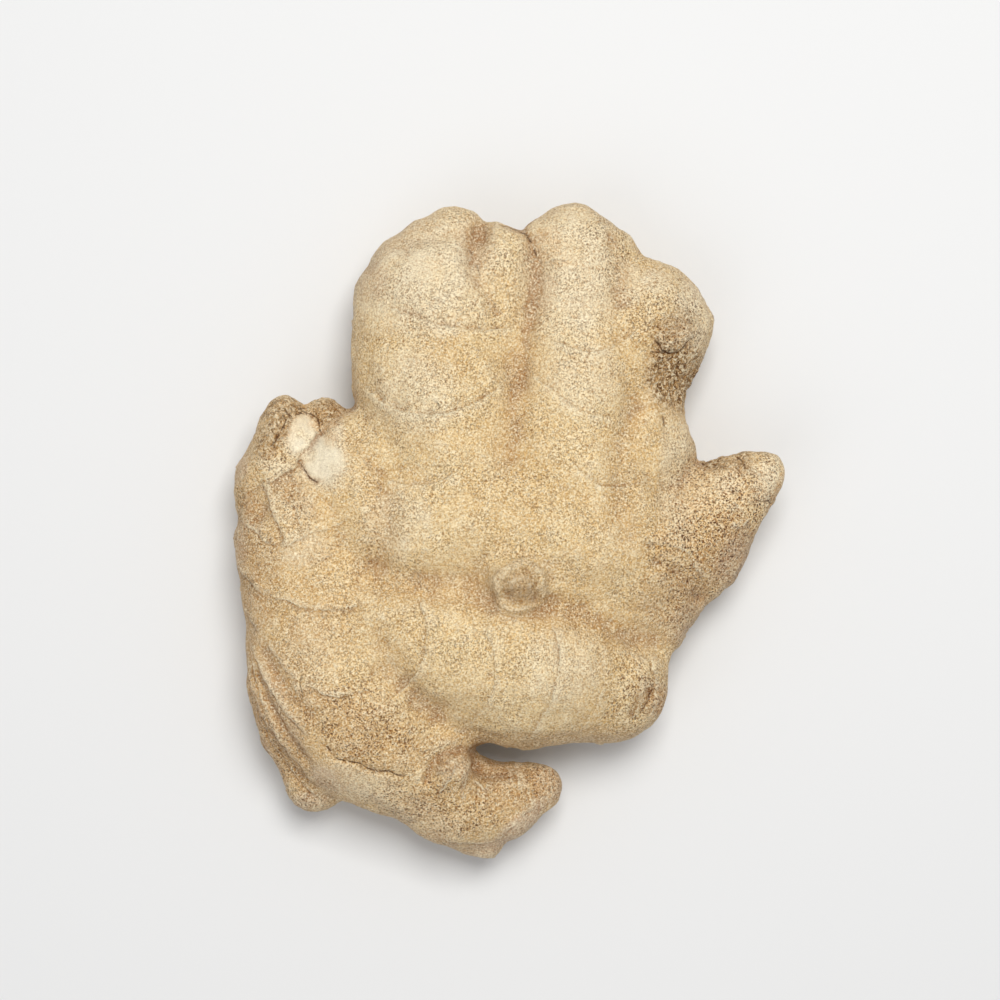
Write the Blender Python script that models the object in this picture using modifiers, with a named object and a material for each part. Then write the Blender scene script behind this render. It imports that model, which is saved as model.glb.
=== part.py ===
"""Fresh ginger root: one hand of ginger, grown in one piece and lying on its flatter side.

Frame: metres, +Z up. The hand rests on Z = 0, +Y runs along its length, and the
origin is on the floor under the middle of the hand's box.
"""

import math

import bmesh
import bpy
from mathutils import Vector

MM = 0.001

# Each lobe is a finger or knob of the hand: its flatness (height over width) and the
# stations along its axis from the old end to the growing tip, as (x, y, z, radius) in mm.
LOBES = {
    "old_branch": (0.84, [
        (-48, 13, 16, 12), (-43.7, 4, 16, 17.2), (-40.5, -14, 16, 18.3), (-36.8, -33, 16.4, 20.4)]),
    "branch_top_left": (1.0, [(-48, 16, 18, 7.5), (-49.6, 22.6, 19, 6.6)]),
    "branch_top_right": (1.0, [(-43, 16, 16, 9), (-40, 22.3, 15, 6.6)]),
    "heel_bud": (0.85, [(-35.5, -36, 15, 18), (-40.8, -50, 13, 12.8), (-43.4, -56, 12, 7.4)]),
    "lower_body": (0.86, [(-30, -41.3, 17, 19.4), (-18, -50.8, 16, 16), (-12, -57.4, 15, 12.6)]),
    "lower_finger": (0.95, [(-9, -60, 15, 11), (0, -59.7, 14, 8.9), (5.9, -57.9, 13, 6.7)]),
    "lower_finger_bump": (0.9, [(-12, -59, 13, 11), (-7, -65.4, 12, 7.8)]),
    "lower_knuckle": (0.9, [(-16, -54, 20, 7), (-12.5, -52, 22, 5)]),
    "middle_body": (0.88, [
        (-22, -21, 18, 19), (-4, -26, 19, 20.4), (11, -29, 19, 19.4), (23, -33, 17, 14.4)]),
    "middle_bud": (0.95, [(24, -35, 16, 9), (28.5, -36.8, 15, 6)]),
    "core": (0.88, [(-30, 9.5, 17, 17.5), (-20, 2, 19, 18), (-4, 2, 20, 19), (18, 0, 19, 20)]),
    "stem_stub": (1.0, [(1, -10, 27, 9), (2.5, -12, 33, 7)]),
    "left_knob": (0.88, [(-9, 14, 19, 19), (-14, 34, 17.4, 20), (-14.4, 49, 16.6, 19.2)]),
    "left_knob_crown": (0.88, [(-14, 50, 17, 18), (-12.8, 59.2, 17, 12.6)]),
    "left_knob_side": (0.9, [(-4, 42, 18, 14), (-1.5, 55.8, 18.5, 12.2)]),
    "right_knob": (0.87, [
        (15, 12, 18.5, 20), (15, 34, 16.6, 19), (15.5, 47.5, 15.4, 17.2), (15, 57.3, 15.5, 15.3)]),
    "right_shoulder": (0.9, [(22, 36, 16, 16), (30, 44.8, 15, 15.8)]),
    "right_neck": (0.88, [(24, 30, 17, 14.5), (26, 18, 17, 15.5)]),
    "right_branch": (0.88, [(12, -8, 18, 18), (28, -4, 16, 18), (40, -1.2, 13.6, 15.2)]),
    "right_branch_heel": (0.88, [(20, -16, 16, 17), (30.5, -14.6, 14, 13.6)]),
    "right_finger": (0.92, [(40, 0, 15, 14.3), (48, 5.4, 17, 10.9), (55.3, 12, 20, 6.7)]),
}

SIDES = 28  # faces round a lobe
ROWS = 26  # rows of faces from one end of a lobe to the other
STEPS = 12  # steps of the smooth axis between two stations
SKIN_GRID = 1.4 * MM  # grid on which the lobes are joined into one skin
FILLET_ROUNDS = 7  # smoothing rounds that fill the clefts where lobes meet
FILLET_FACTOR = 0.5  # how far one round moves a point towards its neighbours
FACET_SHARE = 0.21  # share of the joined skin's facets that are kept
SETTLE = 1.2 * MM  # how far the lowest lobes are pressed flat on the floor
SKIN_COLOUR = (0.58, 0.42, 0.24, 1.0)
SKIN_ROUGHNESS = 0.55


def clear_scene():
    for obj in list(bpy.data.objects):
        bpy.data.objects.remove(obj)


def smooth_value(before, start, end, after, t):
    """A value on the smooth curve through start and end, at the share t between them."""
    slope = end - before
    bend = 2 * before - 5 * start + 4 * end - after
    twist = 3 * start - before - 3 * end + after
    return start + 0.5 * (slope * t + bend * t**2 + twist * t**3)


def smooth_axis(stations):
    """The stations joined by a smooth curve: a list of (point, radius) in metres."""
    ends = [stations[0]] + stations + [stations[-1]]
    line = []
    for four in zip(ends, ends[1:], ends[2:], ends[3:]):
        for step in range(STEPS):
            line.append([smooth_value(*values, step / STEPS) for values in zip(*four)])
    line.append(stations[-1])
    return [(Vector(row[:3]) * MM, row[3] * MM) for row in line]


def point_on(axis, lengths, along):
    """The axis point, direction and radius at a distance along the axis."""
    last = len(axis) - 2
    index = next((i for i in range(last) if lengths[i + 1] > along), last)
    start, end = axis[index], axis[index + 1]
    share = (along - lengths[index]) / (lengths[index + 1] - lengths[index])
    point = start[0].lerp(end[0], share)
    radius = start[1] + (end[1] - start[1]) * min(max(share, 0), 1)
    return point, (end[0] - start[0]).normalized(), radius


def add_lobe(skin, flatness, stations):
    """Adds a sphere drawn out along the lobe's axis, with a round end at each end."""
    axis = smooth_axis(stations)
    lengths = [0.0]
    for start, end in zip(axis, axis[1:]):
        lengths.append(lengths[-1] + (end[0] - start[0]).length)
    first_radius, last_radius = axis[0][1], axis[-1][1]
    first_cap, last_cap = math.pi / 2 * first_radius, math.pi / 2 * last_radius
    profile = first_cap + lengths[-1] + last_cap
    sphere = bmesh.ops.create_uvsphere(skin, u_segments=SIDES, v_segments=ROWS, radius=1)
    for vert in sphere["verts"]:
        travel = math.acos(max(-1, min(1, vert.co.z))) / math.pi * profile
        if travel < first_cap:
            turn = travel / first_radius
            along, reach = -first_radius * math.cos(turn), first_radius * math.sin(turn)
        elif travel > first_cap + lengths[-1]:
            turn = (profile - travel) / last_radius
            along, reach = lengths[-1] + last_radius * math.cos(turn), last_radius * math.sin(turn)
        else:
            along, reach = travel - first_cap, None
        point, forward, radius = point_on(axis, lengths, along)
        reach = radius if reach is None else reach
        side = forward.cross(Vector((0, 0, 1))).normalized()
        up = side.cross(forward)
        angle = math.atan2(vert.co.y, vert.co.x)
        vert.co = point + side * (reach * math.cos(angle)) + up * (reach * flatness * math.sin(angle))


def joined_skin():
    """All the lobes grown together into one closed skin with softened clefts."""
    skin = bmesh.new()
    for flatness, stations in LOBES.values():
        add_lobe(skin, flatness, stations)
    bmesh.ops.recalc_face_normals(skin, faces=skin.faces)
    mesh = bpy.data.meshes.new("lobes")
    skin.to_mesh(mesh)
    skin.free()
    lobes = bpy.data.objects.new("lobes", mesh)
    bpy.context.scene.collection.objects.link(lobes)
    remesh = lobes.modifiers.new("grow_together", "REMESH")
    remesh.mode = "VOXEL"
    remesh.voxel_size = SKIN_GRID
    fillet = lobes.modifiers.new("fill_clefts", "SMOOTH")
    fillet.factor = FILLET_FACTOR
    fillet.iterations = FILLET_ROUNDS
    thin_out = lobes.modifiers.new("keep_fewer_facets", "DECIMATE")
    thin_out.ratio = FACET_SHARE
    graph = bpy.context.evaluated_depsgraph_get()
    grown = bpy.data.meshes.new_from_object(lobes.evaluated_get(graph))
    bpy.data.objects.remove(lobes)
    return grown


def settle(mesh):
    """Centres the hand over the origin and flattens the patches that it rests on."""
    xs, ys, zs = zip(*(vert.co for vert in mesh.vertices))
    middle = Vector(((min(xs) + max(xs)) / 2, (min(ys) + max(ys)) / 2, min(zs) + SETTLE))
    for vert in mesh.vertices:
        vert.co -= middle
        vert.co.z = max(vert.co.z, 0)


def skin_material():
    material = bpy.data.materials.new("ginger_skin")
    material.use_nodes = True
    shader = material.node_tree.nodes["Principled BSDF"]
    shader.inputs["Base Color"].default_value = SKIN_COLOUR
    shader.inputs["Roughness"].default_value = SKIN_ROUGHNESS
    shader.inputs["Metallic"].default_value = 0.0
    return material


def main():
    clear_scene()
    parts = bpy.data.collections.new("ginger_root")
    bpy.context.scene.collection.children.link(parts)
    mesh = joined_skin()
    settle(mesh)
    mesh.name = "ginger_root"
    mesh.shade_smooth()
    mesh.materials.clear()
    mesh.materials.append(skin_material())
    root = bpy.data.objects.new("ginger_root", mesh)
    parts.objects.link(root)


main()
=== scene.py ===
"""The looks of a fresh ginger root: one hand of ginger, lying flat and seen from above.

The hand is grown again from its lobes, finer than the plain solid, and its skin is then
carved: growth rings, folds, cracks, corky scars, eyes and root scars. All carving sizes
are in millimetres, in the same frame as the solid, with X to the right and Y up the hand.
"""

import math
import random

import bmesh
import bpy
import numpy as np
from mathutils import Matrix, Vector, noise


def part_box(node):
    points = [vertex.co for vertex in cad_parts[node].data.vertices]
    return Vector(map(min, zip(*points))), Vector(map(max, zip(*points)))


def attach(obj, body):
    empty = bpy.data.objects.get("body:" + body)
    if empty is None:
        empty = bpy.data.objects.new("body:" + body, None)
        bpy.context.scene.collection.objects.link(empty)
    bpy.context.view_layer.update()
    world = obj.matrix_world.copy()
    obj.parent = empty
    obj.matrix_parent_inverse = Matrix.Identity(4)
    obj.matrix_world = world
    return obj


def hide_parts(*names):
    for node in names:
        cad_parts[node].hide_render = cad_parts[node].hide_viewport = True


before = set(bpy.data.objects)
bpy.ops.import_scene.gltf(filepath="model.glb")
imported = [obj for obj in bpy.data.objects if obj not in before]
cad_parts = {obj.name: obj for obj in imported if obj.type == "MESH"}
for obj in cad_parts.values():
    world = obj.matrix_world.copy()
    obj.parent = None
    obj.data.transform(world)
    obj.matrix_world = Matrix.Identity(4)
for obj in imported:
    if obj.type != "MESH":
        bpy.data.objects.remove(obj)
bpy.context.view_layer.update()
MM = 0.001

# ---------------- the body's lobes

# Each lobe is a finger or knob of the hand: its flatness (height over width) and the
# stations along its axis from the old end to the growing tip, as (x, y, z, radius).
LOBES = {
    "old_branch": (0.84, [
        (-48, 13, 16, 12), (-43.7, 4, 16, 17.2), (-40.5, -14, 16, 18.3), (-36.8, -33, 16.4, 20.4)]),
    "branch_top_left": (1.0, [(-48, 16, 18, 7.5), (-49.6, 22.6, 19, 6.6)]),
    "branch_top_right": (1.0, [(-43, 16, 16, 9), (-40, 22.3, 15, 6.6)]),
    "heel_bud": (0.85, [(-35.5, -36, 15, 18), (-40.8, -50, 13, 12.8), (-43.4, -56, 12, 7.4)]),
    "lower_body": (0.86, [(-30, -41.3, 17, 19.4), (-18, -50.8, 16, 16), (-12, -57.4, 15, 12.6)]),
    "lower_finger": (0.95, [(-9.6, -60.4, 15, 10.6), (0, -60, 14, 8.8), (5.9, -57.9, 13, 6.7)]),
    "lower_finger_bump": (0.9, [(-12, -59, 13, 11), (-7, -65.4, 12, 7.8)]),
    "lower_knuckle": (0.9, [(-16, -54, 20, 7), (-12.5, -52, 22, 5)]),
    "middle_body": (0.88, [
        (-22, -21, 18, 19), (-4, -26, 19, 20.4), (11, -29, 19, 19.4), (23, -33, 17, 14.4)]),
    "middle_bud": (0.95, [(24, -35, 16, 9), (28.5, -36.8, 15, 6)]),
    "core": (0.88, [(-30, 9.5, 17, 17.5), (-20, 2, 19, 18), (-4, 2, 20, 19), (18, 0, 19, 20)]),
    "stem_stub": (1.0, [(1, -10, 27, 9), (2.5, -12, 33, 7)]),
    "left_knob": (0.88, [(-9, 14, 19, 19), (-14, 34, 17.4, 20), (-14.4, 49, 16.6, 19.2)]),
    "left_knob_crown": (0.88, [(-14, 50, 17, 18), (-12.8, 59.2, 17, 12.6)]),
    "left_knob_side": (0.9, [(-4, 42, 18, 14), (-1.5, 55.8, 18.5, 12.2)]),
    "right_knob": (0.87, [
        (15, 12, 18.5, 20), (15, 34, 16.6, 19), (15.5, 47.5, 15.4, 17.2), (15, 57.3, 15.5, 15.3)]),
    "right_shoulder": (0.9, [(22, 36, 16, 16), (30, 44.8, 15, 15.8)]),
    "right_neck": (0.88, [(24, 30, 17, 14.5), (26, 18, 17, 15.5)]),
    "right_branch": (0.88, [(12, -8, 18, 18), (28, -4, 16, 18), (40, -1.2, 13.6, 15.2)]),
    "right_branch_heel": (0.88, [(20, -16, 16, 17), (30.5, -14.6, 14, 13.6)]),
    "right_finger": (0.92, [(40, 0, 15, 14.3), (48, 5.4, 17, 10.9), (55.3, 12, 20, 6.7)]),
}
SIDES = 36  # faces round a lobe
ROWS = 40  # rows of faces from one end of a lobe to the other
STEPS = 12  # steps of a smooth line between two of its points
SKIN_GRID = 1.05 * MM  # grid on which the lobes are joined into one skin
FILLET_ROUNDS = 12  # smoothing rounds that fill the clefts where lobes meet
FILLET_FACTOR = 0.5  # how far one round moves a point towards its neighbours
SETTLE = 1.2  # how far the lowest lobes are pressed flat on the floor
MOST_TRIANGLES = 198000  # how many the carved skin is thinned out to

# ---------------- the carving of the skin

# Sideways pulls, with three times the reach up and down: (x, y, z, reach, pull in x, in y).
PULLS = [
    (-4.2, -49.8, 15, 4.4, -4.4, 0), (3.2, 67, 17, 3, 0, -0.5), (21.2, 71, 15, 2.6, -0.6, -0.7),
    (-4.6, -72.4, 11, 4.5, 1.2, -1), (-4, -72.8, 11, 2.6, 0.3, -0.3), (3, -66.4, 11, 4.5, 0.7, -0.8),
    (11, -56.4, 13, 4, 0.8, 0), (-50.6, -59.6, 12, 3, 0.8, 0.5), (-53.4, -47.4, 13, 4.5, -2.2, -0.2),
    (-51.6, -56.2, 12, 2.8, 0.9, 0.2), (5, -50.3, 14, 4, 0, -1.1), (-37.7, -60, 12, 3, 0, -0.9),
    (-55.8, 25, 18, 3.6, 1.4, 0), (-53.4, 28.4, 18, 3, 0.6, -0.6), (-58.8, 18.5, 17, 4.5, 1, 0),
    (-59.8, 7, 16, 4, -1.5, 0), (-60.8, -3, 16, 4.5, 0.6, 0), (-60, -12, 16, 4.5, 0.6, 0),
    (-17.8, 71, 17, 3.6, 0.4, -1.2), (-23.5, 68, 17, 4, 0.4, -0.5), (7, 70.4, 16, 3.6, 0.7, -0.9),
    (24.6, 68.4, 16, 4, -1, -1), (33, 59.6, 16, 4, 0, -0.5), (45.2, 46, 16, 4, 0.9, 0),
    (55, 19, 20, 4.5, 0, -1.5), (39.6, 31.4, 16, 4, 1.5, 0), (38.8, 24.8, 15, 3, -0.6, 0),
    (42.2, 17, 17, 2.8, 1, 0), (44, -16, 14, 3, 0.7, -0.4), (36.6, -26.2, 14, 3, 1.5, -0.5),
    (35, -31.4, 15, 3, -0.7, 0), (36.6, -36, 14, 3.5, -0.4, 0), (41.5, -22.4, 14, 2.6, -0.5, 0.2),
    (-58, -21, 15, 4, 0.6, 0), (-46, -61.6, 12, 4, 0.3, 0.6),
]

# Swells and hollows: (x, y, z, reach, height).
SWELLS = [
    (-49.8, 29, 18, 3, 0.7), (-40.5, 29, 16, 3.5, 0.8), (-58.5, 18, 17, 4, -0.9),
    (-45, 21, 30, 4, -0.9), (-41.5, 15, 31, 5, -0.7), (-48, 8.8, 31, 4, -1), (-50, 14.5, 31, 4, 0.7),
    (-55, 4.5, 28, 3, -0.5), (-54, -8, 27, 7, 0.4), (-43, -22, 33, 11, 0.7), (-56, -22, 22, 4, -0.5),
    (-43, -62, 12, 3, 0.3), (-36.5, -58.5, 12, 3, 0.3), (-28, -60, 12, 5, 0.6), (-27, -47, 32, 9, -0.5),
    (-11.6, -52.4, 26, 3.8, 2.1), (-6.5, -50.2, 20, 3, -1), (-10, -61, 25, 6, 0.5),
    (4, -65, 11, 5, -0.6), (9, -46, 17, 8, 0.6), (20, -46, 16, 7, 0.4), (37.5, -31, 15, 4, -0.4),
    (-6, 65, 24, 3.5, -1.1), (-13, 55, 33, 9, 0.7), (-22.5, 69, 17, 5, -0.4), (-33, 60, 17, 5, -0.5),
    (0, 60, 31, 4, 0.6), (3.4, 66.5, 16, 3, -0.7), (16, 56, 30, 9, 0.9), (27, 66, 16, 5, 0.1),
    (26, 50, 26, 5, -0.9), (33, 50, 27, 6, 0.8), (36.5, 33, 28, 5, -0.7), (29, 27, 28, 7, -0.5),
    (36, 4, 29, 8, 0.8), (44, 12, 18, 4, 0.4), (39, -18, 18, 7, 0.4), (50, 4, 24, 5, 0.4),
    (47, -9, 15, 5, 0.4), (42, 19, 15, 3, 0.5), (-19, 31, 35, 9, 1.2), (15, 36, 35, 9, 1.2),
    (-20, 4, 37, 10, 0.8), (13, -31, 36, 8, 1), (-10, -28, 37, 9, 0.6),
]

# Wide valleys and humps of the upper side: (height, width, points). Below 0 is a valley.
VALLEYS = [
    (-0.25, 1.3, [(-46.7, 5.7), (-44.8, 1.8), (-43.3, -2.4)]),
    (-1.2, 2.2, [(-5, 70), (-6.1, 65), (-7.6, 60), (-7, 55), (-5, 50.5)]),
    (-0.6, 1.6, [(-5.6, 52), (-3.4, 48.4), (-1.6, 46)]),
    (-0.6, 1.8, [(-33, 55.6), (-28, 60.4), (-21.4, 62.9), (-14.9, 64.4), (-8.6, 66)]),
    (-0.6, 1.3, [(2.8, 67), (4.9, 63), (6.1, 58), (5.6, 51), (4, 40), (2, 28)]),
    (-1, 3.4, [(4, 64), (5.6, 57), (4.4, 46), (2.6, 34), (1, 22), (-4, 12)]),
    (-0.5, 2, [(25.5, 62), (24.5, 54), (25.5, 47)]),
    (-0.7, 1.6, [(-54.6, -24.5), (-50.3, -31), (-45.6, -37.2), (-40.5, -42)]),
    (-0.9, 1.1, [(-55.6, -29), (-53.2, -35.5), (-50, -42), (-46, -48.2), (-42.3, -53)]),
    (-1, 1, [(-57, -34), (-54.6, -41), (-51.2, -47.8), (-47.4, -53.4), (-43.6, -57.4)]),
    (-0.7, 1.2, [(-57.4, -38), (-55.2, -46), (-51.4, -54)]),
    (-1.3, 1.2, [
        (-8, -48.6), (-10.4, -48), (-13.6, -48.6), (-16, -50.6), (-17.2, -53.6), (-18, -56.4)]),
    (-1, 1.6, [(-7.8, -50.4), (-6.4, -52.4), (-3, -53.8), (0.5, -53.4)]),
    (-0.9, 1.8, [(30, -6), (36, -8.5), (40, -12), (43, -17)]),
    (0.5, 1.6, [(32.4, 43.4), (35.2, 41), (37.6, 41.6), (40, 43.6)]),
    (-0.8, 1.4, [(26, -41.5), (29.5, -38.5), (31.5, -34)]),
    (-1.6, 3.4, [(36, -29), (29, -24), (18, -19.4), (8, -17), (-8, -14.5), (-24, -12), (-36, -14)]),
    (-1.3, 3.4, [(-38, 22), (-32, 17), (-27, 8), (-27, -2), (-30, -12)]),
    (-1.2, 3, [(-12, -42), (-20, -36), (-26, -28), (-29, -18)]),
    (-1.4, 3.4, [(31, 32), (27, 24), (24, 14), (25, 4), (28, -6)]),
    (0.45, 1.2, [(-29, -58.4), (-24, -61), (-20, -64)]),
    (-0.4, 2.4, [(-52, 8.6), (-50.2, 9), (-48, 9.6), (-45.6, 8)]),
    (-0.6, 1.4, [(-56.6, 1.6), (-54.4, 3.6), (-53.6, 6.4)]),
    (-0.6, 1.5, [(-48.6, 25.6), (-48.8, 22), (-51, 18.4), (-53, 15)]),
]

# Edges where one sheet of skin ends over the next: (height, reach, points).
# The skin on the left of the line's direction stands higher.
EDGES = [
    (0.5, 2.5, [
        (-46.4, 14.8), (-45.3, 16.6), (-44.2, 18), (-42.8, 19.8), (-41.1, 21.9), (-40.4, 23.4)]),
    (0.65, 2.6, [
        (-52.2, 9.8), (-50.6, 11.3), (-48.8, 12.4), (-47.7, 12.9), (-46.5, 13.4), (-45.8, 15.2)]),
    (0.55, 3, [
        (-54.3, 11.6), (-53.2, 9.2), (-52.5, 7.1), (-51.6, 5), (-50.6, 2.2), (-49.5, 0.1),
        (-48.6, -1.7), (-48.1, -4)]),
    (0.12, 2.5, [(-46.9, 6.4), (-45.6, 3.2), (-44.4, 0.2), (-43.4, -2.8)]),
    (0.22, 2, [
        (-60.4, 3.4), (-57.4, 1.2), (-55.5, 0.2), (-52.7, -2.6), (-48.4, -3.3), (-45.6, -2),
        (-42.8, -0.6), (-38.6, 0.6), (-32, 4)]),
    (0.38, 1.8, [
        (-60.6, -5.8), (-59.8, -6.9), (-57.4, -10.5), (-55.3, -12), (-54.2, -13.1), (-52, -14.2),
        (-49.5, -14.9), (-46.2, -16), (-44.4, -16.7), (-41.1, -17.1), (-36, -17), (-28, -15)]),
    (0.35, 1.6, [(-58.4, -17), (-57.8, -17.8), (-56.7, -19.2), (-55.4, -20.7), (-54, -22.5)]),
    (0.22, 1.6, [(-52.6, -24.4), (-50.5, -27.2), (-48.7, -29.4), (-46.9, -31.2), (-45.1, -32.3)]),
    (0.3, 1.8, [
        (-44.6, -33), (-43.7, -33.4), (-41.5, -34.4), (-39.7, -35.2), (-36, -35.6), (-28, -34)]),
    (0.42, 1.6, [
        (-56.8, -24), (-56, -25.8), (-54.2, -29.4), (-52.7, -32.6), (-50.9, -35.7), (-48.7, -39.1),
        (-46.2, -41.8), (-43.7, -44.5), (-42, -45.8)]),
    (0.42, 1.5, [
        (-57.2, -25), (-56, -28.3), (-54.9, -33), (-52.9, -39.8), (-50.8, -44.5), (-48.7, -47.9),
        (-46.2, -51.2), (-44.5, -53.7), (-42.9, -55.7), (-40.4, -57)]),
    (0.65, 1.6, [
        (-57.8, -25.5), (-57.1, -29.5), (-56.4, -34), (-55.3, -38.6), (-53.7, -42.9), (-51.6, -47),
        (-49.5, -50.3), (-47.4, -53.7), (-44.9, -56.6), (-42.5, -58.7), (-40, -60.4)]),
    (0.3, 1.4, [(-58.6, -30), (-57.6, -37), (-55.8, -43.4), (-53.2, -49.8), (-50.4, -54.6)]),
    (0.5, 2, [
        (31, 43), (32.1, 41.8), (33.4, 40), (34.6, 38.9), (36, 38.8), (37.6, 39.5), (39.2, 41),
        (41, 42.8), (42.6, 43.8)]),
    (0.25, 2.2, [
        (28, -2.6), (32, -2.9), (35.1, -3.2), (37.7, -4), (39.5, -5.3), (40.4, -7.5), (41.7, -9.3),
        (43.5, -10.6), (45.6, -12.4)]),
    (0.3, 1.5, [(1.2, -51.4), (1.7, -52.4), (2.2, -54.1), (2.6, -56.2), (2.4, -58)]),
    (0.3, 2, [(3, 45), (-3, 43.6), (-11, 43.6), (-20, 46), (-29, 50)]),
    (0.4, 2.2, [(0, 33), (-6, 28), (-15, 25), (-25, 26.6), (-33, 33)]),
    (0.28, 2, [(-9, 14.4), (-15, 10.4), (-23, 10), (-30, 13)]),
    (0.3, 2, [(29, 44.6), (24, 40.4), (17, 38.6), (8, 41.4)]),
    (0.28, 2, [(24, 24.4), (17, 25.4), (11, 29), (5, 34.4)]),
    (0.26, 2, [(31, 12), (25.4, 9.4), (19, 10.4), (13, 15)]),
    (0.34, 2, [(-20, -13), (-17.4, -21), (-19, -29.4), (-25, -36.6)]),
    (0.3, 2, [(-6, -19.4), (-3, -26), (-3.4, -34), (-9, -43.6)]),
    (0.36, 2, [(9, -19), (11, -26), (9.4, -36), (4.4, -46)]),
    (0.24, 1.8, [(19.4, -24), (21, -31), (19, -38.4), (15, -44.6)]),
    (0.28, 1.6, [(26, -25), (28.6, -32), (28, -39), (26, -43)]),
    (0.25, 1.5, [(30, -26), (32, -31), (32.2, -37), (30.6, -41.6)]),
]

# Thin raised lines of the upper side: (height, width, points).
RIDGES = [
    (0.38, 0.6, [(-10.9, -49.8), (-12, -52.7), (-13.4, -54.8), (-14.7, -56.8), (-15.8, -58.9)]),
    (0.34, 0.6, [(-9.9, -50.6), (-9.5, -53.4), (-9.7, -56.2), (-9.9, -59.4)]),
    (0.2, 0.6, [(-8, -54.8), (-6.6, -55.6), (-5.4, -57), (-4.4, -56.4), (-4, -55)]),
    (0.18, 1.1, [(-14.4, -68.2), (-8.5, -69.2), (-3, -68.8), (0.4, -66), (3.2, -63), (8.6, -59.4)]),
    (0.3, 0.6, [(48.8, 1.7), (50.6, 0.4), (51.9, 1.6), (53, 2.6)]),
    (0.24, 0.6, [(49.2, 6.2), (50.2, 4.8), (51.6, 4.6)]),
    (0.28, 0.6, [(35.4, 23.1), (36.4, 21.8), (37.2, 22.4), (37.3, 23.8)]),
    (0.3, 0.6, [(52.9, 13.6), (54, 12.4), (55.5, 12.2)]),
    (0.25, 0.6, [(8, 57.8), (10, 58.8), (12.4, 58.6), (13.6, 59.4)]),
    (0.2, 0.6, [(-17.4, 48.6), (-15.4, 50.3), (-13.4, 48.8)]),
]

# Thin dark cracks of the upper side: (depth, width, points).
CRACKS = [
    (0.5, 0.4, [(-46.2, 15.6), (-44.9, 14.1), (-43.5, 12), (-42.8, 11.2), (-40.8, 10.4)]),
    (0.35, 0.4, [
        (-49.8, 27.6), (-48.8, 26.6), (-47.7, 25.4), (-47, 25.1), (-46, 25.6), (-44.9, 25.9),
        (-43.5, 25.8), (-42.3, 25), (-41.6, 23.6), (-40.7, 20.3)]),
    (0.3, 0.4, [(-47.4, 28.2), (-46.2, 26.9), (-43.6, 27)]),
    (0.35, 0.4, [(-48, 25), (-48.8, 23.3), (-49.5, 21.9), (-50.9, 19.4), (-52.4, 17.8)]),
    (0.4, 0.4, [
        (-41.4, -45.2), (-40, -46.4), (-38.7, -47.9), (-37.3, -49.4), (-35, -50.2), (-32.1, -50.8),
        (-30.4, -51.6), (-28.3, -52.4), (-25.9, -52.4), (-23.8, -53.3), (-20.9, -53)]),
    (0.25, 0.4, [(-44.5, -30.6), (-44.7, -33.4), (-44.4, -36.8)]),
    (0.5, 0.5, [(-2.6, 67.4), (-0.1, 67), (2, 66.3), (3.8, 65.4), (5, 63.1), (5.8, 61.5), (6.5, 59)]),
    (0.15, 0.3, [(-8.8, 61.6), (-8, 60.6), (-7.6, 59.6)]),
    (0.15, 0.3, [(-6.9, 58), (-6.2, 56.4), (-5.9, 55)]),
    (0.45, 0.4, [
        (31.6, 42), (33.2, 39.8), (34.6, 38.6), (36, 38.5), (37.8, 39.2), (39.4, 40.8), (40.6, 42.2)]),
    (0.3, 0.4, [(30.8, 38.9), (32.4, 38.7), (34.4, 38.4)]),
    (0.3, 0.4, [(34, 25.2), (34.2, 23.8), (34.4, 22.2)]),
    (0.3, 0.4, [(42.6, 15.2), (44.6, 13.9), (46.6, 14.5), (47.6, 13.2)]),
    (0.3, 0.4, [(50, 17), (51.3, 15), (52, 13)]),
    (0.25, 0.4, [(53.5, 7.4), (55.4, 6.2), (57.2, 6.2), (58.6, 5.6)]),
    (0.08, 0.3, [(0.8, -52.4), (1.5, -53.8), (2.1, -55.6)]),
    (0.25, 0.4, [(26.2, -42.4), (28.5, -40.6), (30.6, -37.6), (31.4, -34.6)]),
    (0.2, 0.4, [(21.9, 64.6), (22.8, 64), (23.6, 62.8)]),
    (0.1, 0.4, [(-10, -46), (-13, -46.6), (-18, -48.4)]),
]

# Growth rings on the lower flanks and underside: {lobe: [(distance along its axis, tilt, height)]}.
GROWTH_RINGS = {
    "old_branch": [(4, 0.2, 0.3), (15, -0.1, 0.35), (27, 0.1, 0.4), (38, -0.2, 0.3), (49, 0.1, 0.3)],
    "heel_bud": [(12, 0.2, 0.3), (20, 0.1, 0.3)],
    "lower_body": [(6, 0.2, 0.3), (15, -0.1, 0.35), (23, 0.2, 0.3)],
    "lower_finger": [(4, 0.1, 0.3), (12, -0.1, 0.3)],
    "middle_body": [(6, 0.2, 0.4), (17, -0.15, 0.45), (28, 0.1, 0.4), (38, -0.1, 0.4), (45, 0.1, 0.35)],
    "core": [(5, 0.1, 0.35), (15, -0.2, 0.4), (27, 0.15, 0.45), (39, -0.1, 0.4), (49, 0.2, 0.35)],
    "left_knob": [(7, 0.2, 0.4), (17, -0.1, 0.45), (28, 0.15, 0.4), (38, -0.1, 0.3)],
    "right_knob": [(9, -0.1, 0.4), (20, 0.2, 0.45), (31, -0.1, 0.35), (41, 0.1, 0.3)],
    "right_neck": [(5, 0.1, 0.3), (12, -0.1, 0.3)],
    "right_branch": [(7, 0.1, 0.4), (17, -0.1, 0.4), (27, 0.2, 0.35)],
    "right_finger": [(7, 0.1, 0.3), (15, -0.2, 0.3)],
}

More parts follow.
